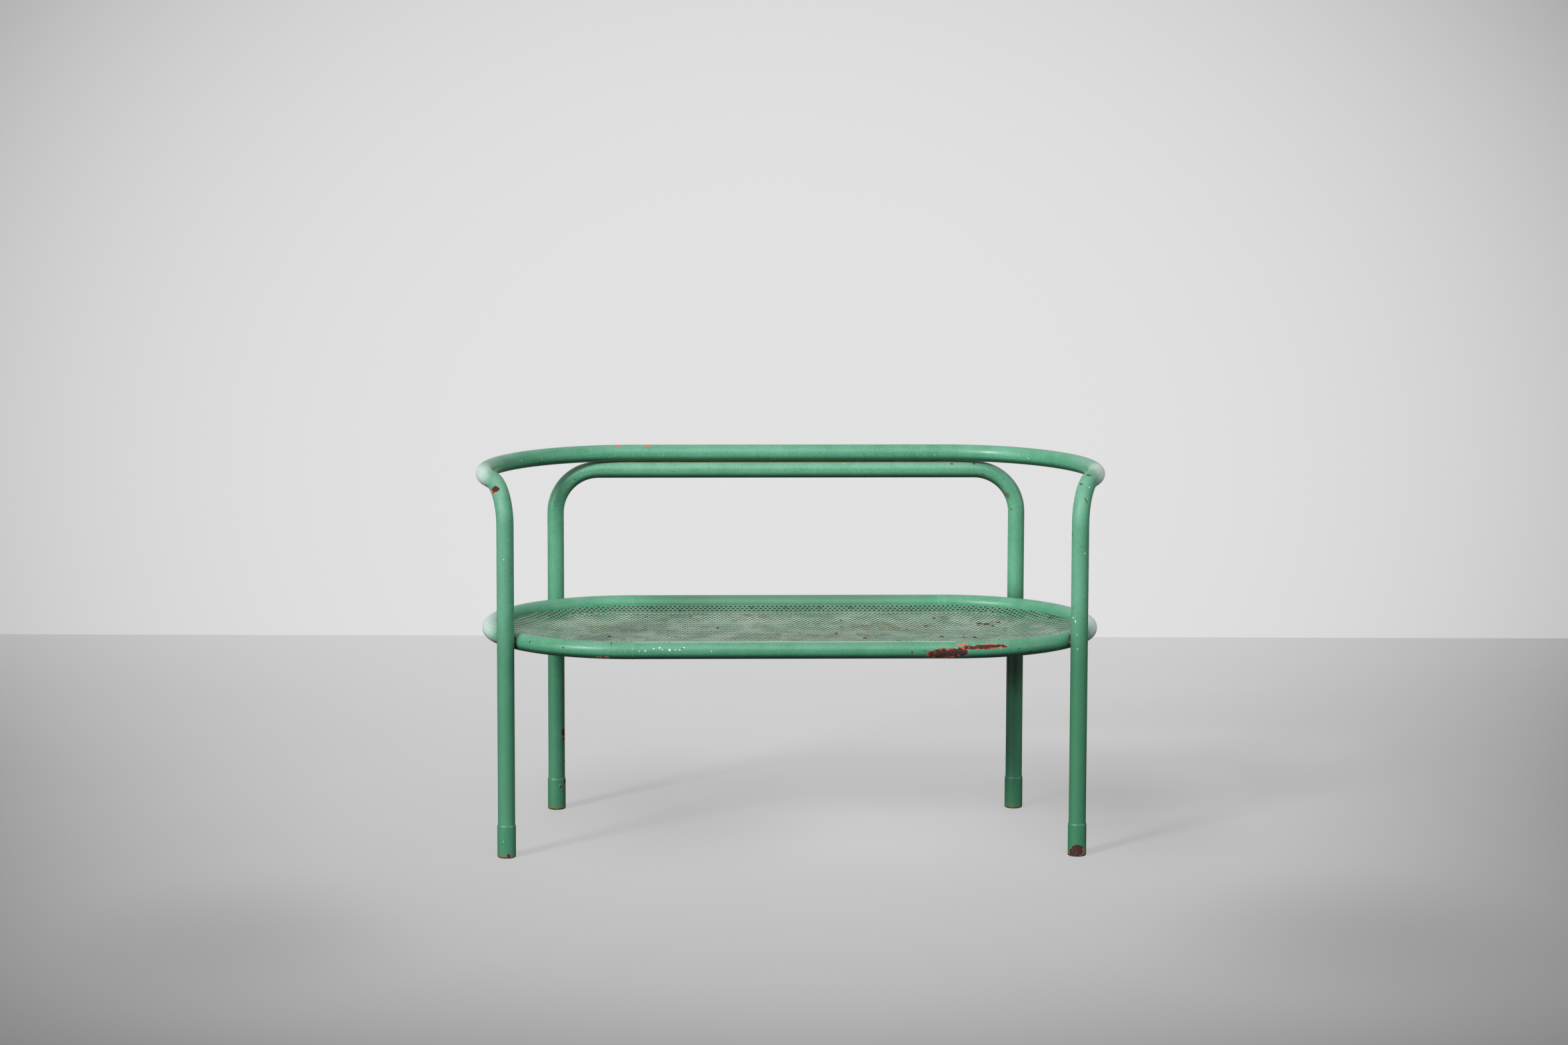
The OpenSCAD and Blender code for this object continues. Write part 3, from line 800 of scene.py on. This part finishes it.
sheet_parts = [SheetPart() for _ in PART_NAMES]
last_row = int(PATTERN_HALF_WIDTH / ROW_PITCH)
last_column = int(PATTERN_HALF_LENGTH / HOLE_PITCH)
for row in range(-last_row, last_row + 1):
    for column in range(-last_column, last_column + 1):
        x = (column + (row % 2) / 2) * HOLE_PITCH
        which = 0 if x < -CUT_X else 2 if x > CUT_X else 1
        sheet_parts[which].cell(column, row)
seat_material = sheet_paint("seat_sheet_paint")
for name, part in zip(PART_NAMES, sheet_parts):
    piece = part.build(name, seat_material)
    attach(piece, "root")
    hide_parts("seat_sheet")

# Floor: its size, its levels as seen, as light cast back and as mirrored, and its share of own light
FLOOR_HALF = 14
FLOOR_LEVEL = 0.62
FLOOR_BOUNCE = 0.015
FLOOR_GLOSS = 0.12
FLOOR_GLOW = 0.64
GLOW_SHARE = 0.72

# Its shading falls off from a bright pool, towards the front and the sides, between these places
POOL_BACK_Y = 1.94
POOL_DEPTH = 3.53
POOL_FRONT_Y = -1.75
POOL_MIDDLE_X = -0.035
POOL_HALF_WIDTH = 1.51
POOL_SPREAD = 0.16
POOL_SPREAD_GAIN = 0.052
FRONT_FALL = 0.34
SIDE_FALL = 0.42
LEAST_KEPT = 0.38

# Painted faint shadows and one painted lighter place on the floor, each with the share that it takes away
FLOOR_SHADES = (
    (spot(-240, 280, 0, (290, 620, 500)), 0.15),
    (spot(680, 220, 0, (250, 560, 500)), 0.16),
    (spot(190, -20, 0, (230, 420, 500)), -0.05),
    (spot(-1010, -860, 0, (330, 500, 500)), 0.12),
    (spot(1020, -860, 0, (400, 500, 500)), 0.14),
)

# Backdrop: its distance, its half length and height, and the middle and half sizes of its bright part
WALL_Y = 2.36
WALL_HALF = 7
WALL_HEIGHT = 6
WALL_BRIGHT_PLACE = (0.02, WALL_Y, 0.42)
WALL_BRIGHT_HALF = (1.93, 1.65)
WALL_LEVEL = 0.759
WALL_DARK_LEVEL = 0.33

# Distance of the lamps, and level of the grey world
LAMP_DISTANCE = 6
WORLD_LEVEL = 0.07

# Camera, fitted to the outlines of the tubes in the photograph
CAMERA_PLACE = Vector((-0.29437, -9.78290, 2.07132))
PITCH, YAW, ROLL = (math.radians(angle) for angle in (8.3752, 1.6516, 0.1538))
LENS = 114.98


def floor_brightness(s):
    """The floor's brightness as a share, from its place alone."""
    x, y, _ = s.split(s.place)
    depth = s.math("MAXIMUM", y, POOL_FRONT_Y)
    from_back = s.math("MAXIMUM", s.math("DIVIDE", s.minus(POOL_BACK_Y, depth), POOL_DEPTH), 0.0)
    spread = s.math("ADD", s.times(depth, POOL_SPREAD_GAIN), POOL_SPREAD)
    half_width = s.math("ADD", s.times(depth, spread), POOL_HALF_WIDTH)
    aside = s.math("ABSOLUTE", s.math("DIVIDE", s.minus(x, POOL_MIDDLE_X), half_width))
    steepness = s.minus(2.9, s.times(from_back, 1.1))
    front_fall = s.times(s.math("POWER", from_back, 4.0), FRONT_FALL)
    side_fall = s.times(s.math("POWER", aside, steepness), SIDE_FALL)
    kept = s.times(s.minus(1.0, front_fall), s.minus(1.0, side_fall))
    kept = s.math("MAXIMUM", kept, LEAST_KEPT)
    kept = s.times(kept, s.smooth(s.noise(1.4, 3, 0.5), 0.3, 0.7, 0.985, 1.0))
    for place, darkening in FLOOR_SHADES:
        reach = s.nearness(s.place, [place])
        kept = s.times(kept, s.smooth(reach, 0.0, 1.3, 1.0 - darkening, 1.0))
    return kept


def floor_material():
    """Pale floor that mostly glows for the camera, with a painted pool of light falling off towards its
    front and sides and painted faint shadows; the lamps' shadows show on it faintly.
    """
    s = Shader("floor_grey")
    kept = floor_brightness(s)
    lifted = s.times(kept, s.smooth(s.split(s.place)[1], 1.9, -1.3, 1.0, 1.32))
    path = s.add("ShaderNodeLightPath").outputs
    unseen = s.mix(path["Is Glossy Ray"], grey(FLOOR_BOUNCE), grey(FLOOR_GLOSS))
    s.start(s.mix(path["Is Camera Ray"], unseen, s.mix(lifted, grey(0.0), grey(FLOOR_LEVEL))), 0.7)
    lit = s.solid(s.bump(s.noise(60, 3), 0.0005, 0.1), specular=0.1)
    own_light = s.glow(s.mix(kept, grey(0.0), grey(FLOOR_GLOW)))
    return s.made_of(s.choose(s.times(path["Is Camera Ray"], GLOW_SHARE), lit, own_light))


def wall_material():
    """Backdrop that shines towards its front only, brightest behind the seat."""
    s = Shader("wall_grey")
    centre = s.vector("SUBTRACT", s.place, WALL_BRIGHT_PLACE)
    half_x, half_z = WALL_BRIGHT_HALF
    spread = s.vector("LENGTH", s.vector("MULTIPLY", centre, (1 / half_x, 0, 1 / half_z)), (0, 0, 0))
    fall = s.math("MULTIPLY", s.math("POWER", spread, 3.5), 0.4, clamp=True)
    shining = s.glow(s.mix(fall, grey(WALL_LEVEL), grey(WALL_DARK_LEVEL)))
    clear = s.add("ShaderNodeBsdfTransparent").outputs[0]
    backfacing = s.add("ShaderNodeNewGeometry").outputs["Backfacing"]
    return s.made_of(s.choose(backfacing, shining, clear))


def plane(name, corners, material):
    """A flat piece of the stage."""
    mesh = bpy.data.meshes.new(name)
    mesh.from_pydata(corners, [], [list(range(len(corners)))])
    mesh.materials.append(material)
    made = bpy.data.objects.new(name, mesh)
    bpy.context.scene.collection.objects.link(made)


def distant_lamp(name, azimuth, elevation, power, spread):
    """A soft lamp far off; azimuth goes from the bench's front towards its right, angles in degrees."""
    light = bpy.data.lights.new(name, "SUN")
    light.energy = power
    light.angle = math.radians(spread)
    turn, lift = math.radians(azimuth), math.radians(elevation)
    level = math.cos(lift)
    towards = Vector((math.sin(turn) * level, -math.cos(turn) * level, math.sin(lift)))
    made = bpy.data.objects.new(name, light)
    made.location = towards * LAMP_DISTANCE
    made.rotation_euler = towards.to_track_quat("Z", "Y").to_euler()
    bpy.context.scene.collection.objects.link(made)


def aim_camera():
    """The camera of the photograph: pitched down, turned to its right and rolled a little."""
    lens = bpy.data.cameras.new("camera")
    lens.sensor_width = 36.0
    lens.lens = LENS
    ahead = Vector((math.sin(YAW) * math.cos(PITCH), math.cos(YAW) * math.cos(PITCH), -math.sin(PITCH)))
    level_right = Vector((math.cos(YAW), -math.sin(YAW), 0))
    level_up = level_right.cross(ahead)
    right = math.cos(ROLL) * level_right + math.sin(ROLL) * level_up
    up = -math.sin(ROLL) * level_right + math.cos(ROLL) * level_up
    turned = Matrix((right, up, -ahead)).transposed().to_4x4()
    camera = bpy.data.objects.new("camera", lens)
    camera.matrix_world = Matrix.Translation(CAMERA_PLACE) @ turned
    bpy.context.scene.collection.objects.link(camera)
    bpy.context.scene.camera = camera


# Stage: a pale floor, a backdrop along the camera's view, soft lamps and an even grey world
plane("floor", [(FLOOR_HALF * a, FLOOR_HALF * b, 0) for a, b in ((-1, -1), (1, -1), (1, 1), (-1, 1))],
      floor_material())
foot_of_wall = Vector((0, WALL_Y, 0))
side = Vector((math.cos(YAW), -math.sin(YAW), 0)) * WALL_HALF
rise = Vector((0, 0, WALL_HEIGHT))
lower_edge = [foot_of_wall - side, foot_of_wall + side]
plane("wall", lower_edge + [corner + rise for corner in reversed(lower_edge)], wall_material())

distant_lamp("key_softbox", -40, 28, 2.45, 11)
distant_lamp("front_softbox", 2, 42, 1.0, 46)
distant_lamp("left_panel", -62, 6, 0.45, 30)
distant_lamp("right_panel", 65, 12, 0.75, 50)
world = bpy.data.worlds.new("studio_grey")
bpy.context.scene.world = world
world.use_nodes = True
world.node_tree.nodes["Background"].inputs["Color"].default_value = grey(WORLD_LEVEL)

aim_camera()
bpy.context.scene.view_settings.view_transform = "Standard"
